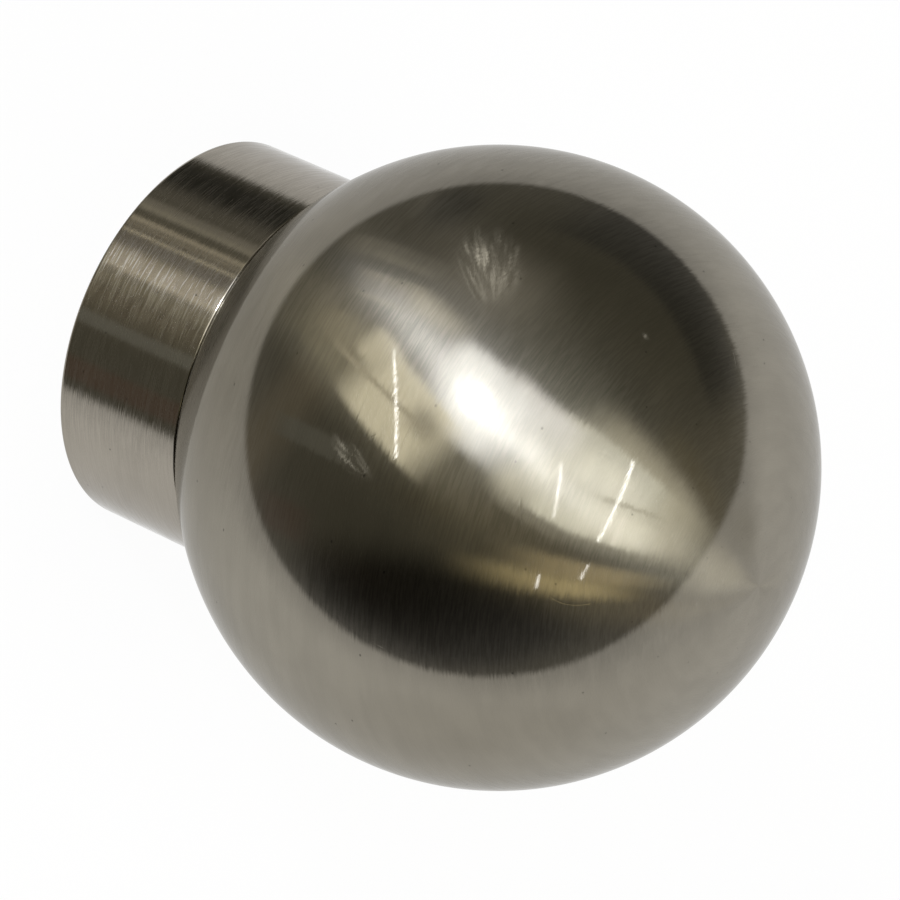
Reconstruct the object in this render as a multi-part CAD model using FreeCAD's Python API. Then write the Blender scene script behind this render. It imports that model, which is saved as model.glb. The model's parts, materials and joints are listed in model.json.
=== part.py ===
"""Curtain pole finial: a brushed metal ball on a short turned collar that slides over the end of a pole.

+Z runs along the finial's axis, from the collar's open end to the nose of the ball. The origin is
the centre of the collar's end face, on which the finial can stand. All sizes are in millimetres.
"""
import FreeCAD
import Part

import math
import os

# Ball: two pressed halves, welded and ground to one thin shell with a round mouth at the collar.
BALL_DIAMETER = 50.0
BALL_WALL = 1.5

# Collar: one turned cup. Its bore takes the pole and its spigot is bonded into the ball's mouth.
POLE_DIAMETER = 28.0
POLE_CLEARANCE = 0.2
SOCKET_DEPTH = 20.0
SOCKET_FLOOR = 2.0
SPIGOT_WALL = 1.0
SHOULDER_WIDTH = 0.8
COLLAR_REACH = 12.0
LEAD_IN = 0.6
RIM_ROUND = 0.3
SEAM_BREAK = 0.25
NOSE_CHAMFER = 0.5

# Joint between the two: gap between shoulder and ball, and radial gap of the spigot in the mouth.
SEAT_GAP = 0.08
MOUTH_CLEARANCE = 0.05

# Grub screw: flat point, socket head, driven in from the side and backed out clear of the bore.
SCREW_DIAMETER = 4.0
SCREW_LENGTH = 2.5
SCREW_HEIGHT = 6.0
SCREW_CHAMFER = 0.3
SCREW_SETBACK = 0.1
THREAD_CLEARANCE = 0.03
HEX_ACROSS_FLATS = 2.0
HEX_DEPTH = 1.5

# What follows from the sizes above.
BALL_RADIUS = BALL_DIAMETER / 2
BORE_RADIUS = POLE_DIAMETER / 2 + POLE_CLEARANCE
SPIGOT_RADIUS = BORE_RADIUS + SPIGOT_WALL
COLLAR_RADIUS = SPIGOT_RADIUS + SHOULDER_WIDTH
MOUTH_RADIUS = SPIGOT_RADIUS + MOUTH_CLEARANCE
SPIGOT_END = SOCKET_DEPTH + SOCKET_FLOOR
QUARTER_TURN = 90.0
FULL_TURN = 360.0


def drop(sphere_radius, radius):
    """Height by which a sphere's lower surface lies below its centre at a radius from the axis."""
    return math.sqrt(sphere_radius ** 2 - radius ** 2)


# The collar's outer wall meets the ball's surface at COLLAR_REACH, and so sets the ball's centre.
BALL_CENTRE = COLLAR_REACH + drop(BALL_RADIUS, COLLAR_RADIUS)


def at(radius, height):
    """Point of a turned profile, by its radius from the axis and its height along it."""
    return FreeCAD.Vector(radius, 0, height)


def line(start, end):
    """Straight edge between two profile points."""
    return Part.LineSegment(start, end).toShape()


def polyline(*points):
    """Straight edges through a run of profile points."""
    return [line(start, end) for start, end in zip(points, points[1:])]


def arc_about(centre, start, end):
    """Arc round a centre from one profile point to another at the same distance, the short way."""
    towards_middle = (start - centre).normalize() + (end - centre).normalize()
    middle = centre + towards_middle.normalize() * (start - centre).Length
    return Part.Arc(start, middle, end).toShape()


def turned(edges):
    """Solid made by turning a closed profile once round the Z axis."""
    profile = Part.Face(Part.Wire(edges))
    return profile.revolve(FreeCAD.Vector(0, 0, 0), FreeCAD.Vector(0, 0, 1), FULL_TURN)


def make_ball():
    """Hollow ball whose mouth is a round hole about the axis, a close fit on the collar's spigot."""
    centre = at(0, BALL_CENTRE)
    inner_radius = BALL_RADIUS - BALL_WALL
    nose = at(0, BALL_CENTRE + BALL_RADIUS)
    nose_inside = at(0, BALL_CENTRE + inner_radius)
    side = at(BALL_RADIUS, BALL_CENTRE)
    side_inside = at(inner_radius, BALL_CENTRE)
    mouth = at(MOUTH_RADIUS, BALL_CENTRE - drop(BALL_RADIUS, MOUTH_RADIUS))
    mouth_inside = at(MOUTH_RADIUS, BALL_CENTRE - drop(inner_radius, MOUTH_RADIUS))
    return turned([
        arc_about(centre, mouth, side),
        arc_about(centre, side, nose),
        line(nose, nose_inside),
        arc_about(centre, nose_inside, side_inside),
        arc_about(centre, side_inside, mouth_inside),
        line(mouth_inside, mouth),
    ])


def make_screw_hole():
    """Cutter for the threaded hole through the collar's wall on the +Y side."""
    radius = SCREW_DIAMETER / 2 + THREAD_CLEARANCE
    start = FreeCAD.Vector(0, 0, SCREW_HEIGHT)
    return Part.makeCylinder(radius, COLLAR_RADIUS + SCREW_LENGTH, start, FreeCAD.Vector(0, 1, 0))


def make_collar():
    """Turned cup: socket for the pole, shoulder dished to the ball's curve, spigot with a floor."""
    centre = at(0, BALL_CENTRE)
    seat_radius = BALL_RADIUS + SEAT_GAP
    rim_centre = at(COLLAR_RADIUS - RIM_ROUND, RIM_ROUND)
    rim_foot = at(COLLAR_RADIUS - RIM_ROUND, 0)
    rim_side = at(COLLAR_RADIUS, RIM_ROUND)
    seat_outer_radius = COLLAR_RADIUS - SEAM_BREAK
    seat_outer = at(seat_outer_radius, BALL_CENTRE - drop(seat_radius, seat_outer_radius))
    seat_inner = at(SPIGOT_RADIUS, BALL_CENTRE - drop(seat_radius, SPIGOT_RADIUS))
    shoulder_top = at(COLLAR_RADIUS, seat_outer.z - SEAM_BREAK)
    side = [line(rim_side, shoulder_top), line(shoulder_top, seat_outer)]
    seat = [arc_about(centre, seat_outer, seat_inner)]
    spigot_and_socket = polyline(
        seat_inner,
        at(SPIGOT_RADIUS, SPIGOT_END - NOSE_CHAMFER),
        at(SPIGOT_RADIUS - NOSE_CHAMFER, SPIGOT_END),
        at(0, SPIGOT_END),
        at(0, SOCKET_DEPTH),
        at(BORE_RADIUS, SOCKET_DEPTH),
        at(BORE_RADIUS, LEAD_IN),
        at(BORE_RADIUS + LEAD_IN, 0),
        rim_foot,
    )
    cup = turned([arc_about(rim_centre, rim_foot, rim_side)] + side + seat + spigot_and_socket)
    return cup.cut(make_screw_hole())


def make_hex_socket():
    """Cutter for the hexagonal key socket, standing on the XY plane and centred on Z."""
    corner_radius = HEX_ACROSS_FLATS / math.sqrt(3)
    turns = [math.radians(FULL_TURN / 6 * corner) for corner in range(6)]
    corners = [FreeCAD.Vector(math.cos(turn), math.sin(turn), 0) * corner_radius for turn in turns]
    outline = Part.Face(Part.makePolygon(corners + corners[:1]))
    return outline.extrude(FreeCAD.Vector(0, 0, HEX_DEPTH))


def make_grub_screw():
    """Grub screw in the collar's wall, its point just outside the bore so that the pole can enter."""
    radius = SCREW_DIAMETER / 2
    body = turned(polyline(
        at(0, 0),
        at(radius - SCREW_CHAMFER, 0),
        at(radius, SCREW_CHAMFER),
        at(radius, SCREW_LENGTH - SCREW_CHAMFER),
        at(radius - SCREW_CHAMFER, SCREW_LENGTH),
        at(0, SCREW_LENGTH),
        at(0, 0),
    ))
    socket = make_hex_socket()
    socket.translate(FreeCAD.Vector(0, 0, SCREW_LENGTH - HEX_DEPTH))
    screw = body.cut(socket)
    screw.rotate(FreeCAD.Vector(0, 0, 0), FreeCAD.Vector(1, 0, 0), -QUARTER_TURN)
    screw.translate(FreeCAD.Vector(0, BORE_RADIUS + SCREW_SETBACK, SCREW_HEIGHT))
    return screw


def main():
    """Build each piece and write it to its own file."""
    os.makedirs("parts", exist_ok=True)
    pieces = {
        "ball": make_ball(),
        "collar": make_collar(),
        "grub_screw": make_grub_screw(),
    }
    for name, shape in pieces.items():
        solid = shape.Solids[0]
        box = solid.BoundBox
        print(f"{name}: {len(shape.Solids)} solid, valid {solid.isValid()}, {solid.Volume:.0f} mm3, "
              f"x {box.XMin:.2f} to {box.XMax:.2f}, y {box.YMin:.2f} to {box.YMax:.2f}, "
              f"z {box.ZMin:.2f} to {box.ZMax:.2f}")
        solid.exportStep(f"parts/{name}.step")


if __name__ == "__main__":
    main()
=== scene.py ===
"""Curtain pole finial: how the brushed ball, its turned collar and the grub screw look.

The finial stands on its collar's end, with +Z along its axis. Lengths are in metres and angles
in degrees unless a name says otherwise. Every surface is a turned form: a profile, given as
radius and height, carried round the axis.
"""
import json
import logging
import math
from dataclasses import dataclass
from enum import Enum
from typing import Sequence

import bpy
import numpy as np
from mathutils import Matrix, Vector


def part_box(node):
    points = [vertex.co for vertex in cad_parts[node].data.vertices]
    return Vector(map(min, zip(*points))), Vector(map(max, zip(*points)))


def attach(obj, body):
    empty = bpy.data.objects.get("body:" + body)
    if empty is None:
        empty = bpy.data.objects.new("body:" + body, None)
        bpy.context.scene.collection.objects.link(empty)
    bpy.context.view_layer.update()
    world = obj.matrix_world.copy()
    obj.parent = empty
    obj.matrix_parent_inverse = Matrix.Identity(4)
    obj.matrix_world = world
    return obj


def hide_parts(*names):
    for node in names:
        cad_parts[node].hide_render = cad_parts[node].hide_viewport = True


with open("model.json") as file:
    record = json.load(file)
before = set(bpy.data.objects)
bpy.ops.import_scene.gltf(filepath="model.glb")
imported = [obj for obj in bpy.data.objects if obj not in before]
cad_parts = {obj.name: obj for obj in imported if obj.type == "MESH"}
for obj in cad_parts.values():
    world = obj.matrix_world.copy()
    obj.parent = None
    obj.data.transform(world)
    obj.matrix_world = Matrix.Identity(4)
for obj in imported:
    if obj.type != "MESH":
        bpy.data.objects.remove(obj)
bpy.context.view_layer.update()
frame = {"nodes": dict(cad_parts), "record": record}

log = logging.getLogger("finial")

MM = 0.001
BODY = "root"
TURNING = "turning"

# Smallest angle between two faces that makes a sharp edge, in degrees
SHARP_FROM = 30.0

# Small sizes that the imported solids' boxes don't show
SPIGOT_WALL = 1.0 * MM
MOUTH_CLEARANCE = 0.05 * MM
BALL_WALL = 1.5 * MM
LEAD_IN = 0.6 * MM
RIM_ROUND = 0.3 * MM
EDGE_ROUND = 0.10 * MM
SEAT_GAP = 0.015 * MM
NOSE_CHAMFER = 0.5 * MM

# Parts of a noise's range that are spread over the whole range of what it drives
CLOUDS = (0.3, 0.7)
LINES = (0.35, 0.65)

# Waves of the surface, and the frayed lines and bands of tint as multiples of the brush lines
WAVE_REACH, WAVE_PITCH_MM = 1.5, 9.0
FRAY_REACH, FRAY_PITCH = 1.3, 0.6
BAND_REACH, BAND_PITCH = 1 / 3, 8.0

# Specks: size of the cell that holds one, and where its edge lies, as a share of the cell
SPECK_CELL, SPECK_CELLS_ROUND = 7.0 * MM, 15.0
SPECK_EDGE, SPECK_BRIGHTNESS = (0.006, 0.016), 0.45

# Scratches: size of the field whose level lines they follow, how many lines, and where they show
SCRATCH_FIELD, SCRATCH_LEVELS, SCRATCH_WIDTH = 16.0 * MM, 17.0, 0.035
SCRATCH_COVER, SCRATCH_SHOWN = 3.0 * MM, (0.60, 0.66)
SCRATCH_DEPTH = 0.04 * MM
SMUDGE_SIZE = 5.0 * MM

# Strokes in a patch of light: how far they close up, how slowly they change along their length
# as a share of across it, the part of the noise where they begin, and the light between them
STROKE_CLOSING, STROKE_CHANGE = 0.4, 0.05
STROKE_SHOWN, STROKE_GAP = (0.50, 0.68), 0.04

# Places on the ball, as longitude and latitude, that mirror the lamp's middle and its two sides
LAMP_MIDDLE = (-9.5, 22.0)
LAMP_SIDES = ((-4.5, 20.7), (-14.5, 23.3))

# Colours of the metal
NICKEL = (0.265, 0.245, 0.203)
BRIGHT_NICKEL = (0.32, 0.293, 0.248)


class Edge(Enum):
    """How the outline of a patch of light is drawn."""

    BOX = "box"
    OVAL = "oval"


class Side(Enum):
    """What a patch of light lies on: the dim room in front, or the pale sheet round it."""

    ROOM = "room"
    SHEET = "sheet"


# Measures taken from the frame


@dataclass(frozen=True)
class FinialSizes:
    """Sizes that all the pieces share, in metres."""

    ball_radius: float
    ball_centre: float
    collar_radius: float
    bore_radius: float
    socket_depth: float
    spigot_end: float
    spigot_radius: float
    mouth_radius: float
    screw_radius: float
    screw_height: float

    @staticmethod
    def from_frame() -> "FinialSizes":
        """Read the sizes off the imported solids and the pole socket's mount.

        Returns:
            The shared sizes.
        """
        ball_low, ball_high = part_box("ball")
        collar_low, collar_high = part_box("collar")
        screw_low, screw_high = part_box("grub_screw")
        socket = next(m for m in frame["record"]["mounts"] if m["name"] == "pole_socket")
        bore_radius = socket["dims"]["r_mm"] * MM
        ball_radius = (ball_high.x - ball_low.x) / 2
        spigot_radius = bore_radius + SPIGOT_WALL
        return FinialSizes(
            ball_radius=ball_radius,
            ball_centre=ball_high.z - ball_radius,
            collar_radius=(collar_high.x - collar_low.x) / 2,
            bore_radius=bore_radius,
            socket_depth=LEAD_IN + socket["dims"]["length_mm"] * MM,
            spigot_end=collar_high.z,
            spigot_radius=spigot_radius,
            mouth_radius=spigot_radius + MOUTH_CLEARANCE,
            screw_radius=(screw_high.x - screw_low.x) / 2,
            screw_height=(screw_low.z + screw_high.z) / 2,
        )


# Profiles and turned surfaces


def arc(
    centre: tuple[float, float], radius: float, start: float, end: float, steps: int,
) -> np.ndarray:
    """Points along an arc of a profile.

    The point at turn t is (centre r + radius cos t, centre z + radius sin t).

    Args:
        centre: Radius and height of the arc's centre.
        radius: Radius of the arc.
        start: First turn, in degrees from the outward direction towards +Z.
        end: Last turn, in degrees.
        steps: Number of stretches between the first and last point.

    Returns:
        An array of steps + 1 rows of radius and height.
    """
    turns = np.radians(np.linspace(start, end, steps + 1))
    return np.column_stack([centre[0] + radius * np.cos(turns), centre[1] + radius * np.sin(turns)])


def profile_length(profile: np.ndarray) -> float:
    """Length of a profile from end to end, in metres."""
    return float(np.linalg.norm(np.diff(profile, axis=0), axis=1).sum())


def turned_mesh(name: str, profile: np.ndarray, steps_round: int) -> bpy.types.Mesh:
    """Turn a profile round the Z axis into a closed mesh.

    A point of the surface is (r(s) cos t, r(s) sin t, z(s)), where s runs along the profile and
    t goes once round. The profile starts and ends on the axis, and each end is one vertex there.
    The UV map holds t and s as shares of their ranges.

    Args:
        name: Name of the mesh.
        profile: Rows of radius and height, from the pole that the surface starts at, with the
            outside on the left hand as it is followed in the plane of radius and height.
        steps_round: Number of faces round the axis.

    Returns:
        The mesh, facing outward, with smooth faces, sharp edges and a UV map.
    """
    rings = profile[1:-1]
    count = len(rings)
    turns = np.arange(steps_round) * (2 * np.pi / steps_round)
    lengths = np.concatenate([[0.0], np.cumsum(np.linalg.norm(np.diff(profile, axis=0), axis=1))])
    around = np.column_stack([np.cos(turns), np.sin(turns)])
    grid = np.empty((count, steps_round, 3))
    grid[..., :2] = rings[:, None, :1] * around[None]
    grid[..., 2] = rings[:, 1:]
    first_pole = [0.0, 0.0, profile[0, 1]]
    last_pole = [0.0, 0.0, profile[-1, 1]]
    points = np.concatenate([grid.reshape(-1, 3), [first_pole, last_pole]])

    index = np.arange(count * steps_round).reshape(count, steps_round)
    onward = np.roll(index, -1, axis=1)
    quads = np.stack([index[:-1], index[1:], onward[1:], onward[:-1]], axis=-1).reshape(-1, 4)
    pole = np.full(steps_round, count * steps_round)
    start_fan = np.stack([pole, index[0], onward[0]], axis=-1)
    end_fan = np.stack([pole + 1, onward[-1], index[-1]], axis=-1)
    faces = quads.tolist() + start_fan.tolist() + end_fan.tolist()
    mesh = bpy.data.meshes.new(name)
    mesh.from_pydata(points.tolist(), [], faces)

    column = np.arange(steps_round) / steps_round
    step = 1.0 / steps_round
    share = lengths / lengths[-1]
    low = np.broadcast_to(share[1:-2, None], (count - 1, steps_round))
    high = np.broadcast_to(share[2:-1, None], (count - 1, steps_round))
    left = np.broadcast_to(column, (count - 1, steps_round))
    quad_uv = np.stack([left, low, left, high, left + step, high, left + step, low], axis=-1)
    near = np.full(steps_round, share[1])
    far = np.full(steps_round, share[-2])
    zero = np.zeros(steps_round)
    start_uv = np.stack([column + step / 2, zero, column, near, column + step, near], axis=-1)
    end_uv = np.stack([column + step / 2, zero + 1, column + step, far, column, far], axis=-1)
    uv = np.concatenate([quad_uv.reshape(-1), start_uv.reshape(-1), end_uv.reshape(-1)])
    mesh.uv_layers.new(name=TURNING).data.foreach_set("uv", uv.astype(np.float32))
    mesh.shade_smooth()
    mesh.set_sharp_from_angle(angle=math.radians(SHARP_FROM))
    return mesh


def add_piece(name: str, mesh: bpy.types.Mesh, node: str) -> bpy.types.Object:
    """Put a mesh into the scene as the piece that stands for a node of the frame.

    Args:
        name: Name of the piece.
        mesh: Its mesh, in place.
        node: The node that it replaces.

    Returns:
        The new object.
    """
    piece = bpy.data.objects.new(name, mesh)
    bpy.context.scene.collection.objects.link(piece)
    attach(piece, BODY)
    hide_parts(node)
    return piece


# Shader nodes


@dataclass
class Nodes:
    """Short ways to add and join shader nodes in one tree."""

    tree: bpy.types.NodeTree

    def add(self, kind: str, **values: object) -> bpy.types.Node:
        """Add a node and set its properties.

        Args:
            kind: Blender's name of the node type.
            **values: Properties of the node.

        Returns:
            The new node.
        """
        node = self.tree.nodes.new(kind)
        for name, value in values.items():
            setattr(node, name, value)
        return node

    def feed(self, socket: bpy.types.NodeSocket, value: object) -> None:
        """Join an output to a socket, or set the socket's own value.

        Args:
            socket: The input to feed.
            value: An output socket, a number or a tuple of numbers.
        """
        if isinstance(value, bpy.types.NodeSocket):
            self.tree.links.new(value, socket)
        else:
            socket.default_value = value

    def math(self, operation: str, *values: object) -> bpy.types.NodeSocket:
        """Do arithmetic on numbers.

        Args:
            operation: Blender's name of the operation.
            *values: Up to three outputs or numbers.

        Returns:
            The result's socket.
        """
        node = self.add("ShaderNodeMath", operation=operation)
        for socket, value in zip(node.inputs, values):
            self.feed(socket, value)
        return node.outputs[0]

    def vector(self, operation: str, *values: object) -> bpy.types.NodeSocket:
        """Do arithmetic on vectors.

        Args:
            operation: Blender's name of the operation.
            *values: Outputs or tuples. A scale operation takes its factor second.

        Returns:
            The vector's socket, or the number's for a dot product.
        """
        node = self.add("ShaderNodeVectorMath", operation=operation)
        if operation == "SCALE":
            self.feed(node.inputs[0], values[0])
            self.feed(node.inputs["Scale"], values[1])
        else:
            for socket, value in zip(node.inputs, values):
                self.feed(socket, value)
        return node.outputs["Value" if operation == "DOT_PRODUCT" else "Vector"]

    def ramp(
        self, value: object, low: float, high: float, out_low: float, out_high: float,
    ) -> bpy.types.NodeSocket:
        """Carry one range of numbers to another, with smooth ends.

        Args:
            value: The number to carry.
            low: Where the range starts.
            high: Where it ends.
            out_low: Result at the start and below it.
            out_high: Result at the end and above it.

        Returns:
            The result's socket.
        """
        node = self.add("ShaderNodeMapRange", interpolation_type="SMOOTHSTEP")
        for socket, number in zip(node.inputs, (value, low, high, out_low, out_high)):
            self.feed(socket, number)
        return node.outputs[0]

    def within(self, distance: object, half: float, soft: float) -> bpy.types.NodeSocket:
        """Step from 1 to 0 as a distance grows past a half size, over soft each way."""
        return self.ramp(distance, half - soft, half + soft, 1.0, 0.0)

    def blend(self, share: object, first: object, second: object) -> bpy.types.NodeSocket:
        """Mix two colours.

        Args:
            share: Share of the second colour.
            first: The first colour.
            second: The second colour.

        Returns:
            The mixed colour's socket.
        """
        node = self.add("ShaderNodeMix", data_type="RGBA", blend_type="MIX")
        self.feed(node.inputs["Factor"], share)
        self.feed(node.inputs["A"], first)
        self.feed(node.inputs["B"], second)
        return node.outputs["Result"]

    def noise(
        self, place: object, scale: float, detail: float, roughness: float = 0.5,
    ) -> bpy.types.NodeSocket:
        """Add a cloud noise from 0 to 1.

        Args:
            place: Coordinates to read it at.
            scale: Its scale.
            detail: Number of finer layers.
            roughness: Weight of the finer layers.

        Returns:
            The noise's socket.
        """
        node = self.add("ShaderNodeTexNoise", noise_dimensions="3D")
        self.feed(node.inputs["Vector"], place)
        self.feed(node.inputs["Scale"], scale)
        self.feed(node.inputs["Detail"], detail)
        self.feed(node.inputs["Roughness"], roughness)
        return node.outputs[0]


def empty_material(name: str) -> tuple[bpy.types.Material, Nodes]:
    """Make a material whose tree holds only its output.

    Args:
        name: Name of the material.

    Returns:
        The material and the helper for its tree.
    """
    material = bpy.data.materials.new(name)
    material.use_nodes = True
    nodes = Nodes(material.node_tree)
    nodes.tree.nodes.clear()
    nodes.add("ShaderNodeOutputMaterial")
    return material, nodes


def show_surface(nodes: Nodes, shader: bpy.types.NodeSocket) -> None:
    """Join a shader to the tree's output."""
    output = next(n for n in nodes.tree.nodes if n.bl_idname == "ShaderNodeOutputMaterial")
    nodes.feed(output.inputs["Surface"], shader)


@dataclass(frozen=True)
class BrushedMetal:
    """Warm satin nickel, brushed in circles round the axis.

    The polish gives a clear mirror image. The brush lines run round the axis, and smear a share
    of the light along the profile. Their small slopes fray the image's edges, and flank_slope
    is how far their flanks face the open end. A swing is how far a value goes up and down, as a
    share of it, and a slope is a height over the distance in which it rises.
    """

    name: str
    colour: tuple[float, float, float]
    mirror_roughness: float
    smear_along: float
    smear_across: float
    smear_share: float
    smear_turn: float
    smear_swing: float
    line_pitch_mm: float
    line_reach: float
    line_slope: float
    wave_slope: float
    fray_slope: float
    tint_swing: float
    scratch_slope: float = 0.035
    flank_slope: float = 0.0
    roughness_swing: float = 0.2
    grazing_tint: float = 0.80

    def place(
        self, nodes: Nodes, length: float, reach: float, pitch_mm: float,
    ) -> bpy.types.NodeSocket:
        """Coordinates that stretch a noise into lines round the axis.

        They are (reach cos t, reach sin t, s / pitch), with t and s from the UV map.

        Args:
            nodes: The tree.
            length: Length of the whole profile, in metres.
            reach: Number of changes in a radian round the axis.
            pitch_mm: Distance between lines along the profile, in millimetres.

        Returns:
            The coordinates' socket.
        """
        share = nodes.add("ShaderNodeSeparateXYZ")
        nodes.feed(share.inputs[0], nodes.add("ShaderNodeUVMap", uv_map=TURNING).outputs["UV"])
        turn = nodes.math("MULTIPLY", share.outputs["X"], 2 * math.pi)
        place = nodes.add("ShaderNodeCombineXYZ")
        nodes.feed(place.inputs["X"], nodes.math("MULTIPLY", nodes.math("COSINE", turn), reach))
        nodes.feed(place.inputs["Y"], nodes.math("MULTIPLY", nodes.math("SINE", turn), reach))
        lines = length / (pitch_mm * MM)
        nodes.feed(place.inputs["Z"], nodes.math("MULTIPLY", share.outputs["Y"], lines))
        return place.outputs["Vector"]

    def specks(self, nodes: Nodes, length: float) -> bpy.types.NodeSocket:
        """A few tiny dark specks, one in each cell of the surface.

        Args:
            nodes: The tree.
            length: Length of the whole profile, in metres.

        Returns:
            Socket of the brightness left, which is 1 away from the specks.
        """
        cells = nodes.add("ShaderNodeTexVoronoi", voronoi_dimensions="2D")
        stretch = (SPECK_CELLS_ROUND, length / SPECK_CELL, 1.0)
        place = nodes.add("ShaderNodeUVMap", uv_map=TURNING).outputs["UV"]
        nodes.feed(cells.inputs["Vector"], nodes.vector("MULTIPLY", place, stretch))
        nodes.feed(cells.inputs["Scale"], 1.0)
        return nodes.ramp(cells.outputs["Distance"], *SPECK_EDGE, SPECK_BRIGHTNESS, 1.0)

    def scratches(self, nodes: Nodes) -> bpy.types.NodeSocket:
        """Fine handling scratches that lie every way.

        They follow level lines of a broad cloud noise, where a second noise lets them show.

        Args:
            nodes: The tree.

        Returns:
            Socket of their depth, from 0 to 1.
        """
        place = nodes.add("ShaderNodeTexCoord").outputs["Object"]
        field = nodes.noise(place, 1 / SCRATCH_FIELD, detail=0.0)
        path = nodes.math("PINGPONG", nodes.math("MULTIPLY", field, SCRATCH_LEVELS), 0.5)
        cover = nodes.noise(place, 1 / SCRATCH_COVER, detail=1.0)
        shown = nodes.ramp(cover, *SCRATCH_SHOWN, 0.0, 1.0)
        return nodes.math("MULTIPLY", nodes.ramp(path, 0.0, SCRATCH_WIDTH, 1.0, 0.0), shown)

    def bump(
        self, nodes: Nodes, height: object, distance: float, **values: object,
    ) -> bpy.types.Node:
        """Add a bump.

        Args:
            nodes: The tree.
            height: Socket of the height, from 0 to 1.
            distance: Height of 1, in metres.
            **values: Properties of the node.

        Returns:
            The bump's node.
        """
        bump = nodes.add("ShaderNodeBump", **values)
        nodes.feed(bump.inputs["Height"], height)
        nodes.feed(bump.inputs["Distance"], distance)
        return bump

    def normal(
        self, nodes: Nodes, length: float, fine: object, tangent: object,
    ) -> bpy.types.NodeSocket:
        """The surface's normal with its waves, brush lines, scratches and frayed lines.

        It is n + swing * tangent - flank_slope * z, made a unit vector, where n has the bumps.

        Args:
            nodes: The tree.
            length: Length of the piece's whole profile, in metres.
            fine: Socket of the brush lines' height.
            tangent: Socket of the direction round the axis.

        Returns:
            The normal's socket.
        """
        reach, pitch = self.line_reach, self.line_pitch_mm
        place = self.place(nodes, length, reach * FRAY_REACH, pitch * FRAY_PITCH)
        sideways = nodes.noise(place, 1.0, detail=2.0)
        place = self.place(nodes, length, WAVE_REACH, WAVE_PITCH_MM)
        wave = nodes.noise(place, 1.0, detail=1.0)
        waved = self.bump(nodes, wave, WAVE_PITCH_MM * MM * self.wave_slope)
        brushed = self.bump(nodes, fine, pitch * MM * self.line_slope)
        nodes.feed(brushed.inputs["Normal"], waved.outputs["Normal"])
        depth = SCRATCH_DEPTH * self.scratch_slope
        scratched = self.bump(nodes, self.scratches(nodes), depth, invert=True)
        nodes.feed(scratched.inputs["Normal"], brushed.outputs["Normal"])
        swing = nodes.math("MULTIPLY_ADD", sideways, 2 * self.fray_slope, -self.fray_slope)
        swung = nodes.vector("SCALE", tangent, swing)
        frayed = nodes.vector("ADD", scratched.outputs["Normal"], swung)
        return nodes.vector("NORMALIZE", nodes.vector("ADD", frayed, (0.0, 0.0, -self.flank_slope)))

    def tinted(self, nodes: Nodes, length: float) -> bpy.types.NodeSocket:
        """The metal's colour with its bands, smudges and specks.

        Args:
            nodes: The tree.
            length: Length of the piece's whole profile, in metres.

        Returns:
            The colour's socket.
        """
        low, high = 1 - self.tint_swing, 1 + self.tint_swing
        reach, pitch = self.line_reach * BAND_REACH, self.line_pitch_mm * BAND_PITCH
        bands = nodes.noise(self.place(nodes, length, reach, pitch), 1.0, detail=2.0)
        banded = nodes.ramp(bands, *CLOUDS, low, high)
        place = nodes.add("ShaderNodeTexCoord").outputs["Object"]
        smudges = nodes.noise(place, 1 / SMUDGE_SIZE, detail=3.0)
        smudged = nodes.ramp(smudges, *CLOUDS, low, high)
        both = nodes.math("MULTIPLY", banded, smudged)
        clean = nodes.math("MULTIPLY", both, self.specks(nodes, length))
        return nodes.vector("SCALE", self.colour, clean)

    def material(self, length: float) -> bpy.types.Material:
        """Build the finish: a mirror, with a share of it smeared across the brush lines.

        Args:
            length: Length of the piece's whole profile, in metres.

        Returns:
            The material.
        """
        material, nodes = empty_material(self.name)
        lines = self.place(nodes, length, self.line_reach, self.line_pitch_mm)
        fine = nodes.noise(lines, 1.0, detail=3.0, roughness=0.6)
        tangent = nodes.add("ShaderNodeTangent", direction_type="UV_MAP", uv_map=TURNING).outputs[0]
        normal = self.normal(nodes, length, fine, tangent)
        colour = self.tinted(nodes, length)

        mirror = nodes.add("ShaderNodeBsdfPrincipled")
        nodes.feed(mirror.inputs["Base Color"], colour)
        mirror.inputs["Metallic"].default_value = 1.0
        mirror.inputs["Specular Tint"].default_value = (self.grazing_tint,) * 3 + (1.0,)
        rough, swing = self.mirror_roughness, self.roughness_swing
        roughness = nodes.ramp(fine, *CLOUDS, rough * (1 - swing), rough * (1 + swing))
        nodes.feed(mirror.inputs["Roughness"], roughness)
        nodes.feed(mirror.inputs["Normal"], normal)

        smear = nodes.add("ShaderNodeBsdfAnisotropic", distribution="BECKMANN")
        along, across = self.smear_along, self.smear_across
        nodes.feed(smear.inputs["Color"], colour)
        smear.inputs["Roughness"].default_value = (along * across) ** 0.25
        smear.inputs["Anisotropy"].default_value = 1 - math.sqrt(across / along)
        smear.inputs["Rotation"].default_value = self.smear_turn / 360
        nodes.feed(smear.inputs["Normal"], normal)
        nodes.feed(smear.inputs["Tangent"], tangent)

        share, swing = self.smear_share, self.smear_swing
        smeared = nodes.ramp(fine, *LINES, share * (1 - swing), share * (1 + swing))
        mix = nodes.add("ShaderNodeMixShader")
        nodes.feed(mix.inputs["Fac"], smeared)
        nodes.feed(mix.inputs[1], mirror.outputs["BSDF"])
        nodes.feed(mix.inputs[2], smear.outputs["BSDF"])
        show_surface(nodes, mix.outputs[0])
        return material


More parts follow.
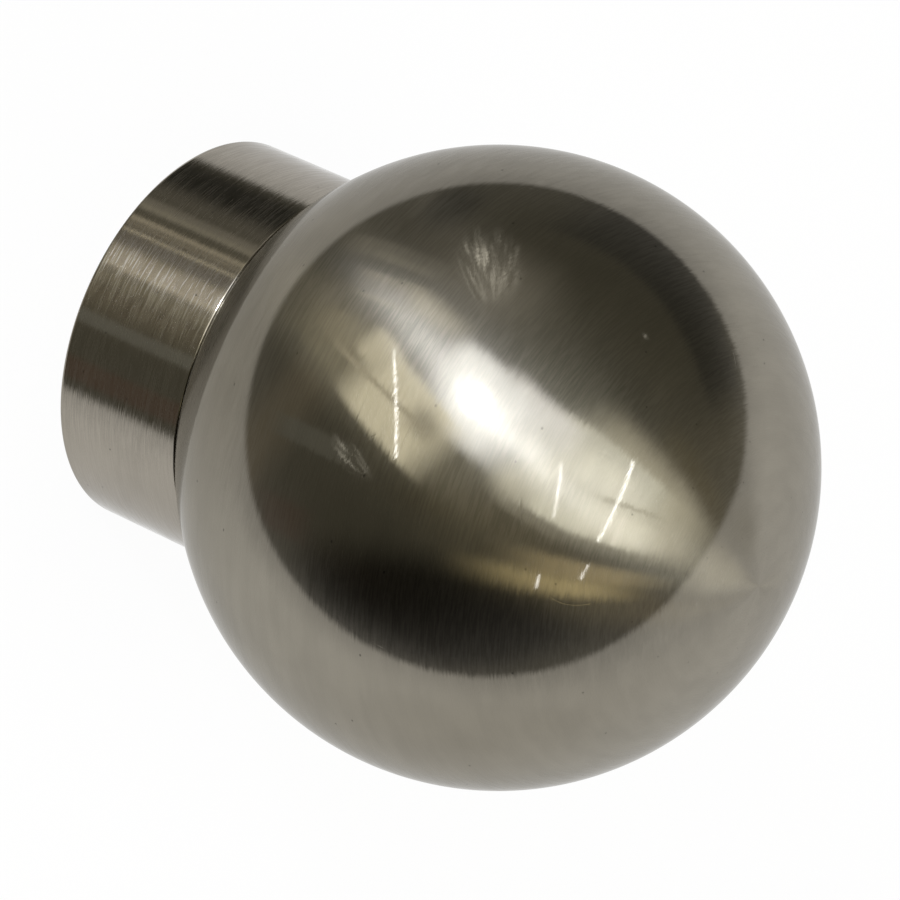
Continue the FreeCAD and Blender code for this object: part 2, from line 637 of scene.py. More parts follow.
@dataclass(frozen=True)
class PlainSteel:
    """Slightly dark machined steel of the grub screw."""

    name: str = "screw_steel"
    colour: tuple[float, float, float] = (0.20, 0.19, 0.18)
    roughness: float = 0.32
    grain: float = 0.4 * MM
    shade_swing: float = 0.2
    roughness_swing: float = 0.3

    def material(self) -> bpy.types.Material:
        """Build the finish.

        Returns:
            The material.
        """
        material, nodes = empty_material(self.name)
        place = nodes.add("ShaderNodeTexCoord").outputs["Object"]
        grain = nodes.noise(place, 1 / self.grain, detail=3.0)
        shade = nodes.ramp(grain, *CLOUDS, 1 - self.shade_swing, 1 + self.shade_swing)
        rough, swing = self.roughness, self.roughness_swing
        roughness = nodes.ramp(grain, *CLOUDS, rough * (1 - swing), rough * (1 + swing))
        shader = nodes.add("ShaderNodeBsdfPrincipled")
        nodes.feed(shader.inputs["Base Color"], nodes.vector("SCALE", self.colour, shade))
        shader.inputs["Metallic"].default_value = 1.0
        nodes.feed(shader.inputs["Roughness"], roughness)
        show_surface(nodes, shader.outputs["BSDF"])
        return material


# Pieces of the finial


@dataclass
class Ball:
    """Hollow ball with a round mouth at the collar."""

    sizes: FinialSizes
    finish: BrushedMetal
    wall: float = BALL_WALL
    steps_round: int = 320
    steps_outside: int = 200
    steps_inside: int = 40

    def profile(self) -> np.ndarray:
        """Outside from nose to mouth, then the wall's thickness, then the inside back to the axis.

        Returns:
            Rows of radius and height.
        """
        centre = (0.0, self.sizes.ball_centre)
        inner_radius = self.sizes.ball_radius - self.wall
        outer_end = -math.degrees(math.acos(self.sizes.mouth_radius / self.sizes.ball_radius))
        inner_end = -math.degrees(math.acos(self.sizes.mouth_radius / inner_radius))
        outside = arc(centre, self.sizes.ball_radius, 90.0, outer_end, self.steps_outside)
        inside = arc(centre, inner_radius, inner_end, 90.0, self.steps_inside)
        profile = np.concatenate([outside, inside])
        profile[[0, -1], 0] = 0.0
        return profile

    def build(self) -> bpy.types.Object:
        """Make the ball."""
        mesh = turned_mesh("ball_shell", self.profile(), self.steps_round)
        return add_piece("ball_shell", mesh, "ball")

    def dress(self, piece: bpy.types.Object) -> None:
        """Give the ball its finish."""
        piece.data.materials.append(self.finish.material(profile_length(self.profile())))


@dataclass
class Collar:
    """Turned cup with the pole's socket, a dished shoulder and a spigot."""

    sizes: FinialSizes
    finish: BrushedMetal
    steps_round: int = 320
    seat_steps: int = 4
    edge_start: float = 72.0
    edge_steps: int = 5
    side_rows: int = 6
    row_gap: float = 0.05 * MM
    rim_steps: int = 6
    hole_clearance: float = 0.03 * MM
    hole_steps: int = 48
    drill_inside: float = 2.0 * MM
    drill_outside: float = 1.0 * MM

    def profile(self) -> np.ndarray:
        """Once round the section, from the spigot's end on the axis to the socket's floor.

        Returns:
            Rows of radius and height.
        """
        size = self.sizes
        seat_radius = size.ball_radius + SEAT_GAP
        seat_outer = size.collar_radius - EDGE_ROUND
        seat_start = -math.degrees(math.acos(size.spigot_radius / seat_radius))
        seat_end = -math.degrees(math.acos(seat_outer / seat_radius))
        seat = arc((0.0, size.ball_centre), seat_radius, seat_start, seat_end, self.seat_steps)
        spigot = np.array([
            (0.0, size.spigot_end),
            (size.spigot_radius - NOSE_CHAMFER, size.spigot_end),
            (size.spigot_radius, size.spigot_end - NOSE_CHAMFER),
        ])
        edge_middle = (seat_outer, seat[-1, 1] - EDGE_ROUND)
        edge = arc(edge_middle, EDGE_ROUND, self.edge_start, 0.0, self.edge_steps)
        top, foot = edge_middle[1] - self.row_gap, RIM_ROUND + self.row_gap
        heights = np.linspace(top, foot, self.side_rows)
        side = np.column_stack([np.full(self.side_rows, size.collar_radius), heights])
        rim_middle = (size.collar_radius - RIM_ROUND, RIM_ROUND)
        rim = arc(rim_middle, RIM_ROUND, 0.0, -90.0, self.rim_steps)
        socket = np.array([
            (size.bore_radius + LEAD_IN, 0.0),
            (size.bore_radius, LEAD_IN),
            (size.bore_radius, size.socket_depth),
            (0.0, size.socket_depth),
        ])
        return np.concatenate([spigot, seat, edge, side, rim, socket])

    def build(self) -> bpy.types.Object:
        """Make the collar.

        Returns:
            The piece.
        """
        mesh = turned_mesh("collar_ring", self.profile(), self.steps_round)
        piece = add_piece("collar_ring", mesh, "collar")
        self.cut_screw_hole(piece)
        return piece

    def cut_screw_hole(self, piece: bpy.types.Object) -> None:
        """Cut the grub screw's hole through the wall on the +Y side.

        The drill is a cylinder: a point of it is (r cos t, y, screw height + r sin t).

        Args:
            piece: The collar.
        """
        size, steps = self.sizes, self.hole_steps
        radius = size.screw_radius + self.hole_clearance
        turns = np.arange(steps) * (2 * np.pi / steps)
        ring = np.column_stack([radius * np.cos(turns), size.screw_height + radius * np.sin(turns)])
        reach = (size.bore_radius - self.drill_inside, size.collar_radius + self.drill_outside)
        points = np.concatenate([np.insert(ring, 1, y, axis=1) for y in reach])
        index = np.arange(steps)
        onward = np.roll(index, -1)
        sides = np.column_stack([index, index + steps, onward + steps, onward]).tolist()
        caps = [index.tolist(), (index[::-1] + steps).tolist()]
        mesh = bpy.data.meshes.new("screw_drill")
        mesh.from_pydata(points.tolist(), [], sides + caps)
        drill = bpy.data.objects.new("screw_drill", mesh)
        bpy.context.scene.collection.objects.link(drill)
        cut = piece.modifiers.new("screw_hole", "BOOLEAN")
        cut.operation, cut.solver, cut.object = "DIFFERENCE", "EXACT", drill
        bpy.context.view_layer.update()
        depsgraph = bpy.context.evaluated_depsgraph_get()
        drilled = bpy.data.meshes.new_from_object(
            piece.evaluated_get(depsgraph), preserve_all_data_layers=True, depsgraph=depsgraph)
        piece.modifiers.clear()
        whole = piece.data
        piece.data = drilled
        bpy.data.meshes.remove(whole)
        drilled.name = "collar_ring"
        bpy.data.objects.remove(drill)
        bpy.data.meshes.remove(mesh)

    def dress(self, piece: bpy.types.Object) -> None:
        """Give the collar its finish."""
        piece.data.materials.append(self.finish.material(profile_length(self.profile())))


@dataclass
class GrubScrew:
    """Grub screw in the collar's wall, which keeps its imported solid."""

    finish: PlainSteel

    def dress(self) -> bpy.types.Object:
        """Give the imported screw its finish.

        Returns:
            The screw.
        """
        screw = frame["nodes"]["grub_screw"]
        screw.data.materials.clear()
        screw.data.materials.append(self.finish.material())
        return screw


# The stage


@dataclass(frozen=True)
class Patch:
    """A patch of light or shade on the room's wall.

    Its place is where the ball mirrors it towards the camera, as longitude from the camera's side
    and latitude towards the nose, both on the ball. Half sizes, bow and softness are degrees
    there, turn leans the patch's height from the meridian, and bow is how far its ends bend
    sideways. Its sides fade over soft each way, and a box's ends over soft_ends. strokes breaks it
    up into fine lines along its height, that many in a degree, which close up towards its upper
    end. The name labels its node.
    """

    name: str
    longitude: float
    latitude: float
    half_width: float
    half_height: float
    colour: tuple[float, float, float]
    edge: Edge = Edge.BOX
    side: Side = Side.ROOM
    turn: float = 0.0
    bow: float = 0.0
    soft: float = 1.5
    soft_ends: float = 1.5
    strokes: float = 0.0


@dataclass(frozen=True)
class Photograph:
    """How the photograph shows the finial, which sets the camera.

    ball_pixel is where the ball's centre shows, and depth is how far ahead it lies. axis_turn and
    axis_tilt are the turn in the picture, and the tilt away from the camera, of the axis from
    ball to collar. size is in pixels, and focal_length and sensor are in millimetres.
    """

    size: float = 900.0
    focal_length: float = 237.1
    sensor: float = 36.0
    ball_pixel: tuple[float, float] = (498.1, 467.75)
    axis_turn: float = 204.35
    axis_tilt: float = 30.99
    depth: float = 459.0 * MM
    azimuth: float = 24.4
    clip_start: float = 0.05
    clip_end: float = 20.0

    def ball_and_axis(self) -> tuple[Vector, Vector]:
        """Find the ball's centre and the axis in the camera's own axes (right, down, ahead).

        The centre lies at its pixel over the focal length, times the depth. The axis from ball to
        collar is (cos tilt cos turn, cos tilt sin turn, sin tilt).

        Returns:
            The ball's centre in metres, and the direction of the axis.
        """
        pixels = self.size * self.focal_length / self.sensor
        middle = self.size / 2
        across, down = ((place - middle) / pixels for place in self.ball_pixel)
        turn, tilt = math.radians(self.axis_turn), math.radians(self.axis_tilt)
        axis = Vector((
            math.cos(tilt) * math.cos(turn),
            math.cos(tilt) * math.sin(turn),
            math.sin(tilt),
        ))
        return Vector((across, down, 1.0)) * self.depth, axis

    def towards_camera(self) -> Vector:
        """Direction from the ball to the camera in the world.

        The camera's height over the ball is the sine of the angle between its line of sight and
        the axis, and its azimuth is given.

        Returns:
            A unit vector.
        """
        ball, axis = self.ball_and_axis()
        elevation = math.asin(ball.normalized().dot(axis))
        around = math.radians(self.azimuth)
        return Vector((
            math.sin(around) * math.cos(elevation),
            -math.cos(around) * math.cos(elevation),
            math.sin(elevation),
        ))

    def place_camera(self, ball_centre: float) -> bpy.types.Object:
        """Make the camera at the photograph's viewing angle.

        Two directions that are known in the camera's axes and in the world fix its turn.

        Args:
            ball_centre: Height of the ball's centre.

        Returns:
            The camera.
        """
        ball, axis = self.ball_and_axis()
        turned = triad(-self.towards_camera(), Vector((0, 0, -1))) @ triad(ball, axis).transposed()
        data = bpy.data.cameras.new("camera")
        data.sensor_width = self.sensor
        data.lens = self.focal_length
        data.clip_start, data.clip_end = self.clip_start, self.clip_end
        camera = bpy.data.objects.new("camera", data)
        flip = Matrix(((1, 0, 0), (0, -1, 0), (0, 0, -1)))
        place = Vector((0, 0, ball_centre)) - turned @ ball
        camera.matrix_world = Matrix.Translation(place) @ (turned @ flip).to_4x4()
        bpy.context.scene.collection.objects.link(camera)
        bpy.context.scene.camera = camera
        return camera


def triad(first: Vector, second: Vector) -> Matrix:
    """Three square axes made from two directions.

    Args:
        first: The direction of the first axis.
        second: A direction in the plane of the first and second axes.

    Returns:
        A matrix whose columns are the axes.
    """
    one = first.normalized()
    three = one.cross(second).normalized()
    two = three.cross(one)
    return Matrix((one, two, three)).transposed()


def add_stage(name: str, mesh: bpy.types.Mesh, material: bpy.types.Material) -> bpy.types.Object:
    """Put a mesh into the scene as a part of the stage.

    Args:
        name: Name of the object.
        mesh: Its mesh, in place.
        material: Its material.

    Returns:
        The object.
    """
    thing = bpy.data.objects.new(name, mesh)
    bpy.context.scene.collection.objects.link(thing)
    mesh.materials.append(material)
    return thing


@dataclass
class Floor:
    """Plain pale floor. The metal doesn't mirror it: the pale sheet already reaches below it."""

    reach: float = 3.0
    ring_count: int = 12
    steps_round: int = 96
    colour: float = 0.95
    glow_share: float = 0.96

    def build(self) -> bpy.types.Object:
        """Make the floor.

        A point is (r cos t, r sin t, 0), with rings of radius r that grow from the finial.

        Returns:
            The floor.
        """
        turns = np.arange(self.steps_round) * (2 * np.pi / self.steps_round)
        rings = self.reach * np.linspace(0, 1, self.ring_count + 1)[1:] ** 2
        grid = np.zeros((len(rings), len(turns), 3))
        grid[..., 0] = rings[:, None] * np.cos(turns)
        grid[..., 1] = rings[:, None] * np.sin(turns)
        index = np.arange(grid.shape[0] * grid.shape[1]).reshape(grid.shape[:2])
        onward = np.roll(index, -1, axis=1)
        quads = np.stack([index[:-1], index[1:], onward[1:], onward[:-1]], axis=-1).reshape(-1, 4)
        mesh = bpy.data.meshes.new("floor")
        mesh.from_pydata(grid.reshape(-1, 3).tolist(), [], quads.tolist() + [index[0].tolist()])
        floor = add_stage("floor", mesh, self.material())
        floor.visible_glossy = False
        return floor

    def material(self) -> bpy.types.Material:
        """White floor that keeps the finial's shadow.

        Returns:
            The material.
        """
        material, nodes = empty_material("floor_white")
        diffuse = nodes.add("ShaderNodeBsdfDiffuse")
        diffuse.inputs["Color"].default_value = (self.colour, self.colour, self.colour, 1.0)
        glow = nodes.add("ShaderNodeEmission")
        path = nodes.add("ShaderNodeLightPath").outputs
        mix = nodes.add("ShaderNodeMixShader")
        nodes.feed(mix.inputs["Fac"], nodes.math("MULTIPLY", path["Is Camera Ray"], self.glow_share))
        nodes.feed(mix.inputs[1], diffuse.outputs[0])
        nodes.feed(mix.inputs[2], glow.outputs[0])
        show_surface(nodes, mix.outputs[0])
        return material


@dataclass
class Surroundings:
    """What the metal mirrors: a pale sheet all round and behind, and a dim room in front.

    The camera itself sees plain white. The room begins at a horizon, which is level in a frame
    that leans towards the camera, apart from a dip. Below the horizon the sheet brightens from
    far_sheet to 1 within fade degrees.
    """

    camera: Vector
    patches: Sequence[Patch]
    lean: float = 17.6
    horizon: float = -5.3
    dip: float = 9.4
    dip_azimuth: float = -21.7
    horizon_softness: float = 2.0
    fade: float = 12.0
    far_sheet: float = 0.80
    wall_colour: tuple[float, float, float] = (0.12, 0.115, 0.09)

    def axes(self) -> Matrix:
        """Axes of the room: towards the camera, across, and up.

        Returns:
            A matrix whose columns are the three axes.
        """
        lean = math.radians(self.lean)
        up = Vector((0, -math.cos(lean), math.sin(lean)))
        towards = (self.camera - up * self.camera.dot(up)).normalized()
        return Matrix((towards, up.cross(towards), up)).transposed()

    def ball_axes(self) -> tuple[Vector, Vector]:
        """Level directions on the ball: towards the camera's side, and a quarter turn on."""
        ahead = Vector((self.camera.x, self.camera.y, 0)).normalized()
        return ahead, Vector((0, 0, 1)).cross(ahead)

    def mirrored(self, longitude: float, latitude: float) -> Vector:
        """The direction that the ball mirrors to the camera at a place on it.

        It is 2 (n . c) n - c, with n the ball's normal there and c the camera's direction.

        Args:
            longitude: Degrees from the camera's side of the ball.
            latitude: Degrees towards the nose.

        Returns:
            A unit vector.
        """
        ahead, aside = self.ball_axes()
        around, raised = math.radians(longitude), math.radians(latitude)
        normal = (ahead * math.cos(around) + aside * math.sin(around)) * math.cos(raised)
        normal.z = math.sin(raised)
        return normal * (2 * normal.dot(self.camera)) - self.camera

    def cover(
        self, nodes: Nodes, longitude: object, latitude: object, patch: Patch,
    ) -> bpy.types.NodeSocket:
        """How far a patch covers what it lies on.

        Args:
            nodes: The tree.
            longitude: Socket of the longitude on the ball.
            latitude: Socket of the latitude.
            patch: The patch.

        Returns:
            Socket of the cover, from 0 to 1.
        """
        turn, narrow = math.radians(patch.turn), math.cos(math.radians(patch.latitude))
        cosine, sine = math.cos(turn), math.sin(turn)
        right = nodes.math("MULTIPLY", nodes.math("SUBTRACT", longitude, patch.longitude), narrow)
        above = nodes.math("SUBTRACT", latitude, patch.latitude)
        x = nodes.math("MULTIPLY_ADD", right, cosine, nodes.math("MULTIPLY", above, sine))
        y = nodes.math("MULTIPLY_ADD", above, cosine, nodes.math("MULTIPLY", right, -sine))
        if patch.bow:
            bend = -patch.bow / patch.half_height ** 2
            x = nodes.math("MULTIPLY_ADD", nodes.math("MULTIPLY", y, y), bend, x)
        if patch.edge is Edge.OVAL:
            wide = nodes.math("POWER", nodes.math("DIVIDE", x, patch.half_width), 2.0)
            high = nodes.math("POWER", nodes.math("DIVIDE", y, patch.half_height), 2.0)
            reach = nodes.math("SQRT", nodes.math("ADD", wide, high))
            cover = nodes.within(reach, 1.0, patch.soft / patch.half_width)
        else:
            wide = nodes.within(nodes.math("ABSOLUTE", x), patch.half_width, patch.soft)
            high = nodes.within(nodes.math("ABSOLUTE", y), patch.half_height, patch.soft_ends)
            cover = nodes.math("MULTIPLY", wide, high)
        if not patch.strokes:
            return cover
        spread = nodes.math("MULTIPLY_ADD", y, -STROKE_CLOSING / patch.half_height, 1.0)
        across = nodes.math("MULTIPLY", nodes.math("DIVIDE", x, spread), patch.strokes)
        stroke = nodes.add("ShaderNodeCombineXYZ")
        nodes.feed(stroke.inputs[0], across)
        nodes.feed(stroke.inputs[1], nodes.math("MULTIPLY", y, STROKE_CHANGE * patch.strokes))
        broken = nodes.noise(stroke.outputs[0], 1.0, detail=1.0)
        return nodes.math("MULTIPLY", cover, nodes.ramp(broken, *STROKE_SHOWN, STROKE_GAP, 1.0))

    def lay(
        self, nodes: Nodes, longitude: object, latitude: object, side: Side, colour: object,
    ) -> object:
        """Lay the patches of one side over its colour, in order.

        Args:
            nodes: The tree.
            longitude: Socket of the longitude on the ball.
            latitude: Socket of the latitude.
            side: Which patches to lay.
            colour: The colour under them.

        Returns:
            The colour with the patches.
        """
        for patch in (p for p in self.patches if p.side is side):
            cover = self.cover(nodes, longitude, latitude, patch)
            colour = nodes.blend(cover, colour, (*patch.colour, 1.0))
            colour.node.label = patch.name
        return colour

    def depth_below(self, nodes: Nodes, towards: object) -> bpy.types.NodeSocket:
        """How far a direction lies below the horizon.

        Args:
            nodes: The tree.
            towards: Socket of the direction.

        Returns:
            Socket of the depth in degrees.
        """
        ahead, across, up = (tuple(column) for column in self.axes().transposed())
        azimuth = nodes.math("ARCTAN2", nodes.vector("DOT_PRODUCT", towards, across),
                             nodes.vector("DOT_PRODUCT", towards, ahead))
        beside = nodes.math("COSINE", nodes.math("SUBTRACT", azimuth, math.radians(self.dip_azimuth)))
        dipped = nodes.math("MAXIMUM", beside, 0.0)
        horizon = nodes.math("MULTIPLY_ADD", dipped, -self.dip, self.horizon)
        raised = nodes.math("DEGREES", nodes.math("ARCSINE", nodes.vector("DOT_PRODUCT", towards, up)))
        return nodes.math("SUBTRACT", horizon, raised)

    def light_world(self) -> None:
        """Put the surroundings into the world.

        A direction d is mirrored by the ball where its normal is d + c made a unit vector, c
        being the camera's direction. That normal's longitude and latitude place the patches.
        """
        world = bpy.data.worlds.new("surroundings")
        bpy.context.scene.world = world
        world.use_nodes = True
        nodes = Nodes(world.node_tree)
        nodes.tree.nodes.clear()
        towards = nodes.vector("NORMALIZE", nodes.add("ShaderNodeTexCoord").outputs["Generated"])
        normal = nodes.vector("NORMALIZE", nodes.vector("ADD", towards, tuple(self.camera)))
        ahead, aside = self.ball_axes()
        around = nodes.math("ARCTAN2", nodes.vector("DOT_PRODUCT", normal, tuple(aside)),
                            nodes.vector("DOT_PRODUCT", normal, tuple(ahead)))
        raised = nodes.math("ARCSINE", nodes.vector("DOT_PRODUCT", normal, (0.0, 0.0, 1.0)))
        longitude, latitude = nodes.math("DEGREES", around), nodes.math("DEGREES", raised)
        room = self.lay(nodes, longitude, latitude, Side.ROOM, (*self.wall_colour, 1.0))
        below = self.depth_below(nodes, towards)
        white = nodes.add("ShaderNodeMapRange", interpolation_type="LINEAR")
        for socket, value in zip(white.inputs, (below, 0.0, self.fade, self.far_sheet, 1.0)):
            nodes.feed(socket, value)
        sheet = nodes.vector("SCALE", (1.0, 1.0, 1.0), white.outputs[0])
        sheet = self.lay(nodes, longitude, latitude, Side.SHEET, sheet)
        softness = self.horizon_softness
        around_it = nodes.blend(nodes.ramp(below, -softness, softness, 0.0, 1.0), room, sheet)
        path = nodes.add("ShaderNodeLightPath").outputs
        seen = nodes.blend(path["Is Camera Ray"], around_it, (1.0, 1.0, 1.0, 1.0))
        background = nodes.add("ShaderNodeBackground")
        nodes.feed(background.inputs["Color"], seen)
        output = nodes.add("ShaderNodeOutputWorld")
        nodes.feed(output.inputs["Surface"], background.outputs[0])
        world.cycles.sampling_method = "NONE"


@dataclass
class SoftLamp:
    """Oval lamp behind a diffuser, brightest in the middle.

    It lies at a distance from place in the direction of aim, with its narrow way along across.
    The spreads are shares of that distance, and the lamp ends reach spreads from its middle.
    """

    place: Vector
    aim: Vector
    across: Vector
    wide_spread: float = 0.026
    high_spread: float = 0.033
    colour: tuple[float, float, float] = (0.96, 1.0, 1.1)
    distance: float = 1.2
    strength: float = 302.0
    reach: float = 4.0

    def build(self) -> bpy.types.Object:
        """Make the lamp: a flat sheet whose glow falls off as a bell curve from its middle.

        Returns:
            The lamp.
        """
        ahead = self.aim.normalized()
        side = (self.across - ahead * self.across.dot(ahead)).normalized()
        other = ahead.cross(side)
        half = self.distance * self.reach
        middle = self.place + ahead * self.distance
        signs = ((-1, -1), (-1, 1), (1, 1), (1, -1))
        wide, high = side * (half * self.wide_spread), other * (half * self.high_spread)
        corners = [tuple(middle + wide * a + high * b) for a, b in signs]
        mesh = bpy.data.meshes.new("soft_lamp")
        mesh.from_pydata(corners, [], [(0, 1, 2, 3)])
        lamp = add_stage("soft_lamp", mesh, self.material(middle, side, other))
        lamp.visible_camera = False
        return lamp

    def material(self, middle: Vector, side: Vector, other: Vector) -> bpy.types.Material:
        """Glow of strength times exp(-(x^2 + y^2) / 2), with x and y in spreads from the middle.

        Args:
            middle: The lamp's middle.
            side: Direction of its narrow way.
            other: Direction of its long way.

        Returns:
            The material.
        """
        material, nodes = empty_material("lamp_glow")
        place = nodes.add("ShaderNodeTexCoord").outputs["Object"]
        away = nodes.vector("SUBTRACT", place, tuple(middle))
        x = nodes.vector("DOT_PRODUCT", away, tuple(side / (self.wide_spread * self.distance)))
        y = nodes.vector("DOT_PRODUCT", away, tuple(other / (self.high_spread * self.distance)))
        square = nodes.math("MULTIPLY_ADD", x, x, nodes.math("MULTIPLY", y, y))
        bell = nodes.math("EXPONENT", nodes.math("MULTIPLY", square, -0.5))
        glow = nodes.add("ShaderNodeEmission")
        glow.inputs["Color"].default_value = (*self.colour, 1.0)
        nodes.feed(glow.inputs["Strength"], nodes.math("MULTIPLY", bell, self.strength))
        clear = nodes.add("ShaderNodeBsdfTransparent")
        both = nodes.add("ShaderNodeAddShader")
        nodes.feed(both.inputs[0], glow.outputs[0])
        nodes.feed(both.inputs[1], clear.outputs[0])
        show_surface(nodes, both.outputs[0])
        return material


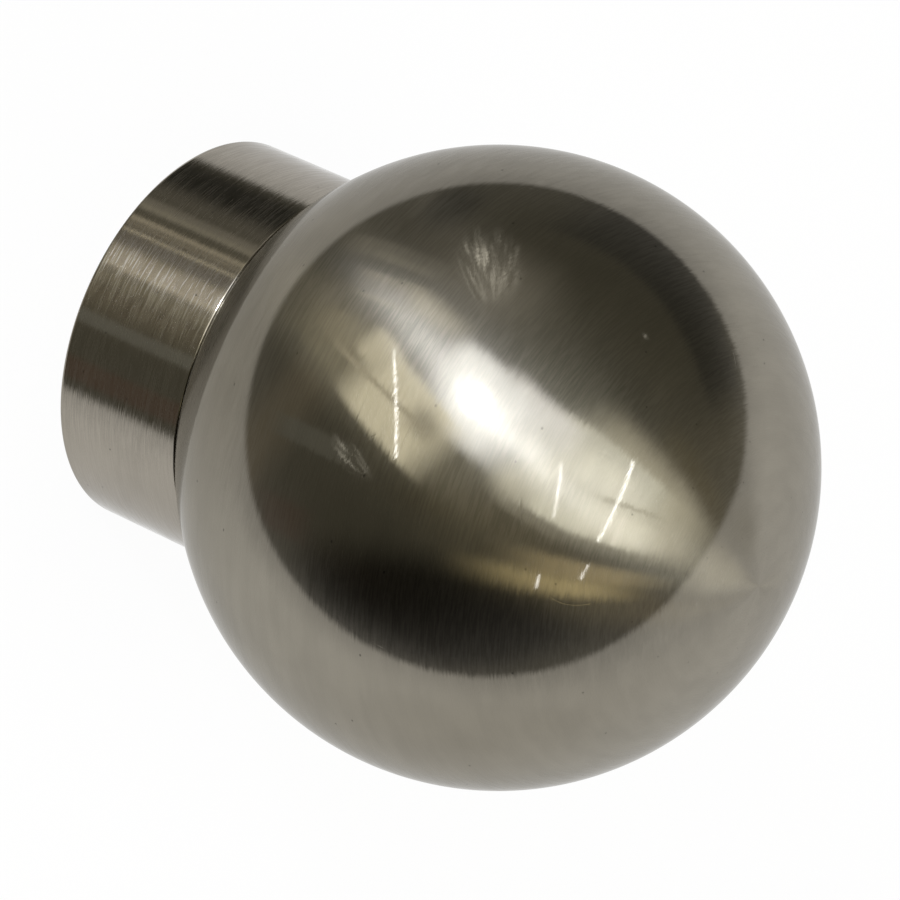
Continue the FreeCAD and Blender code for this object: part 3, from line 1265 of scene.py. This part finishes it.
def light_patches() -> list[Patch]:
    """Light and shade round the finial, in the order in which they cover each other.

    Returns:
        The patches.
    """
    tube = (17.0, 18.0, 20.0)
    dim_tube = (12.0, 12.5, 14.0)
    return [
        Patch("left_rim", -61.0, 34.0, 6.0, 22.0, (0.05, 0.05, 0.045), bow=5.0, soft_ends=6.0),
        Patch("left_wall", -27.0, 41.0, 4.5, 9.0, (0.04, 0.04, 0.03), edge=Edge.OVAL, soft=4.0),
        Patch("upper_left", -42.0, 66.0, 10.0, 9.0, (0.17, 0.155, 0.105), soft=5.0, soft_ends=6.0),
        Patch("upper_middle", -27.0, 64.0, 3.0, 9.0, (0.22, 0.19, 0.11), soft=2.0, soft_ends=6.0),
        Patch("lower_left", -38.0, -5.0, 12.0, 4.0, (0.19, 0.18, 0.15), turn=40.0,
              soft=5.0, soft_ends=3.0),
        Patch("collar_shade", -42.0, -5.5, 6.5, 4.5, (0.03, 0.03, 0.025), edge=Edge.OVAL, soft=4.0),
        Patch("lower_right", 12.0, -14.0, 16.0, 5.0, (0.23, 0.20, 0.145), turn=-25.0,
              soft=3.0, soft_ends=4.0),
        Patch("right_wall", 31.0, 63.0, 4.0, 6.0, (0.10, 0.09, 0.07), soft=3.0, soft_ends=5.0),
        Patch("ceiling_shade", -20.5, 54.0, 2.4, 11.0, (0.75, 0.72, 0.60), soft=2.3, soft_ends=5.0),
        Patch("gap", 9.5, 45.0, 2.2, 26.0, (0.09, 0.08, 0.05), soft=1.0, soft_ends=8.0),
        Patch("olive_window", 16.8, 52.0, 1.6, 11.0, (1.05, 0.89, 0.55), soft=1.0, soft_ends=8.0),
        Patch("olive_side", 21.8, 46.0, 1.8, 12.0, (1.40, 1.19, 0.67), soft=1.4, soft_ends=9.0),
        Patch("deep_shade", 34.0, 26.0, 11.0, 26.0, (0.008, 0.007, 0.006), edge=Edge.OVAL, soft=4.0),
        Patch("ceiling", -6.8, 56.5, 7.4, 13.5, (1.53, 1.49, 1.25), soft=3.2, soft_ends=8.0),
        Patch("bright_ceiling", -5.0, 47.5, 8.1, 11.5, (2.40, 2.45, 2.2), soft=0.9, soft_ends=5.0),
        Patch("ceiling_left", -12.6, 47.5, 3.1, 10.0, (2.2, 2.26, 2.14), soft=1.6, soft_ends=4.0),
        Patch("ceiling_core", -8.6, 48.5, 3.0, 7.0, (2.95, 3.02, 2.85), soft=2.0, soft_ends=3.5),
        Patch("ceiling_dip", -2.0, 42.0, 2.6, 5.0, (1.6, 1.62, 1.44), turn=-10.0,
              soft=2.0, soft_ends=3.5),
        Patch("ceiling_edge", 7.0, 39.0, 1.1, 6.0, (0.45, 0.43, 0.35), turn=-12.0,
              soft=0.8, soft_ends=3.0),
        Patch("ceiling_strip", 1.8, 54.5, 2.4, 6.0, (3.05, 3.08, 2.82), soft=1.2, soft_ends=5.0),
        Patch("upper_panel", -13.8, 32.0, 3.0, 7.5, (3.1, 3.2, 3.5), turn=-8.0,
              soft=1.7, soft_ends=4.0),
        Patch("ceiling_foot", 1.2, 34.0, 2.8, 3.5, (1.8, 1.8, 1.6), edge=Edge.OVAL, soft=2.4),
        Patch("streak_side", -21.0, 6.0, 2.0, 7.0, (1.6, 1.53, 1.30), turn=-8.0,
              soft=1.7, soft_ends=4.0),
        Patch("lamp_left", -16.0, 19.0, 1.9, 4.5, (3.5, 3.65, 4.0), turn=-12.0,
              soft=1.6, soft_ends=3.0),
        Patch("lamp_foot", -8.4, 35.0, 3.4, 3.6, (2.4, 2.5, 2.6), edge=Edge.OVAL, soft=2.8),
        Patch("lamp_panel", -9.2, 22.8, 7.2, 7.6, (3.4, 3.6, 4.0), turn=-17.0, soft=1.9, soft_ends=6.0),
        Patch("low_ceiling", -9.2, -4.0, 6.6, 12.0, (0.29, 0.265, 0.19), turn=-24.0,
              soft=1.2, soft_ends=9.0),
        Patch("low_left", -10.8, -6.5, 2.7, 6.0, (0.50, 0.455, 0.34), turn=-18.0,
              soft=1.0, soft_ends=3.0),
        Patch("low_bright", -2.2, 10.0, 6.3, 9.7, (2.35, 2.27, 1.86), turn=-24.0,
              soft=1.0, soft_ends=4.4),
        Patch("low_corner", -10.4, 1.4, 3.0, 3.2, (1.9, 1.82, 1.48), turn=-24.0,
              soft=1.0, soft_ends=2.2),
        Patch("low_gap", -1.6, 15.5, 2.2, 3.0, (1.0, 0.95, 0.76), turn=-24.0, soft=1.8, soft_ends=2.2),
        Patch("low_bar", -4.4, 5.0, 0.45, 11.0, (1.1, 1.02, 0.8), turn=-18.0, soft=0.5, soft_ends=5.0),
        Patch("high_bar", -5.4, 55.5, 0.4, 6.5, (1.3, 1.28, 1.05), turn=8.0, soft=0.4, soft_ends=2.5),
        Patch("wide_stripe", -27.8, -6.0, 2.1, 12.0, (0.32, 0.305, 0.26), soft=0.8, soft_ends=4.0),
        Patch("bright_line", -26.8, -4.5, 0.7, 6.5, (0.46, 0.44, 0.36), soft=0.5, soft_ends=3.5),
        Patch("dark_line", -24.5, -4.5, 0.5, 6.5, (0.18, 0.17, 0.13), soft=0.3, soft_ends=4.0),
        Patch("mid_stripe", -22.4, -4.5, 0.8, 6.0, (0.66, 0.61, 0.49), soft=0.35, soft_ends=3.5),
        Patch("fill_stripe", -20.3, -4.5, 1.2, 6.0, (0.24, 0.22, 0.175), soft=0.3, soft_ends=3.5),
        Patch("fill_line", -20.5, -4.5, 0.2, 6.0, (0.62, 0.57, 0.45), soft=0.15, soft_ends=3.5),
        Patch("thin_stripe", -18.4, -4.0, 0.35, 5.0, (1.05, 0.98, 0.78), soft=0.2, soft_ends=3.5),
        Patch("near_stripe", -16.0, -6.0, 1.9, 11.0, (0.26, 0.24, 0.20), soft=0.5, soft_ends=4.0),
        Patch("cool_stripe", 8.8, -3.0, 1.9, 8.0, (0.24, 0.24, 0.21), soft=0.5, soft_ends=4.0),
        Patch("brown_stripe", 24.0, -5.0, 3.2, 5.0, (0.14, 0.105, 0.08), soft=1.2, soft_ends=3.0),
        Patch("long_tube", -5.2, 52.3, 0.085, 7.4, tube, turn=-86.0, bow=0.9, soft=0.07, soft_ends=0.2),
        Patch("wide_tube", 2.5, 54.8, 0.45, 2.6, (3.6, 3.6, 3.4), turn=-90.0, soft=0.4, soft_ends=0.5),
        Patch("short_tube", -1.0, 41.7, 0.08, 4.6, dim_tube, turn=-73.0, bow=0.3,
              soft=0.05, soft_ends=0.2),
        Patch("low_tube", -3.0, 9.3, 0.075, 9.6, tube, turn=-62.0, bow=0.6, soft=0.05, soft_ends=0.2),
        Patch("far_tube", 16.8, 51.3, 0.07, 1.5, dim_tube, turn=-102.0, soft=0.05, soft_ends=0.2),
        Patch("end_tube", 21.6, 43.4, 0.07, 1.3, dim_tube, turn=-92.0, soft=0.05, soft_ends=0.2),
        Patch("haze", -30.0, 13.0, 7.0, 9.0, (0.42, 0.40, 0.35), edge=Edge.OVAL, turn=40.0, soft=6.5),
        Patch("left_glint", -33.0, 9.6, 4.0, 6.5, (2.5, 2.5, 2.4),
              edge=Edge.OVAL, turn=-48.0, soft=3.4, strokes=2.6),
        Patch("right_glint", 8.9, 5.6, 1.5, 3.4, (1.6, 1.6, 1.52),
              edge=Edge.OVAL, turn=-26.0, soft=1.3, strokes=1.6),
        Patch("far_speck", -44.0, 38.0, 0.25, 0.4, (1.0, 1.0, 0.95), edge=Edge.OVAL, soft=0.2),
        Patch("under_shade", 0.0, -33.0, 26.0, 12.0, (0.80, 0.79, 0.76),
              edge=Edge.OVAL, side=Side.SHEET, soft=22.0),
        Patch("top_shade", -42.0, 78.0, 3.0, 5.0, (0.74, 0.73, 0.70),
              edge=Edge.OVAL, side=Side.SHEET, soft=2.8),
        Patch("side_shade", 64.0, 34.0, 12.0, 24.0, (0.87, 0.86, 0.84),
              edge=Edge.OVAL, side=Side.SHEET, soft=11.0),
        Patch("top_plume", 2.0, 79.0, 3.0, 7.0, (1.3, 1.28, 1.2),
              edge=Edge.OVAL, side=Side.SHEET, soft=2.8),
    ]


def main() -> None:
    """Build the finial, the studio and the camera."""
    logging.basicConfig(level=logging.INFO, format="%(name)s: %(message)s")
    sizes = FinialSizes.from_frame()
    ball_finish = BrushedMetal(
        "ball_nickel", NICKEL, mirror_roughness=0.05,
        smear_along=0.41, smear_across=0.062, smear_share=0.40, smear_turn=-20.0, smear_swing=0.18,
        line_pitch_mm=0.16, line_reach=10.0, line_slope=0.008,
        wave_slope=0.004, fray_slope=0.016, tint_swing=0.03)
    collar_finish = BrushedMetal(
        "collar_nickel", BRIGHT_NICKEL, mirror_roughness=0.05,
        smear_along=0.44, smear_across=0.06, smear_share=0.16, smear_turn=0.0, smear_swing=0.8,
        line_pitch_mm=0.13, line_reach=6.0, line_slope=0.045,
        wave_slope=0.002, fray_slope=0.012, tint_swing=0.025, flank_slope=0.055)
    ball = Ball(sizes, ball_finish)
    ball_piece = ball.build()
    ball.dress(ball_piece)
    log.info("ball: %d faces", len(ball_piece.data.polygons))
    collar = Collar(sizes, collar_finish)
    collar_piece = collar.build()
    collar.dress(collar_piece)
    log.info("collar: %d faces", len(collar_piece.data.polygons))
    screw = GrubScrew(PlainSteel()).dress()
    log.info("grub screw: %d faces", len(screw.data.polygons))

    photograph = Photograph()
    centre = Vector((0, 0, sizes.ball_centre))
    surroundings = Surroundings(photograph.towards_camera(), light_patches())
    surroundings.light_world()
    left, right = (surroundings.mirrored(*spot) for spot in LAMP_SIDES)
    SoftLamp(centre, surroundings.mirrored(*LAMP_MIDDLE), left - right).build()
    Floor().build()
    photograph.place_camera(sizes.ball_centre)
    bpy.context.scene.view_settings.view_transform = "Standard"


if __name__ == "__main__":
    main()
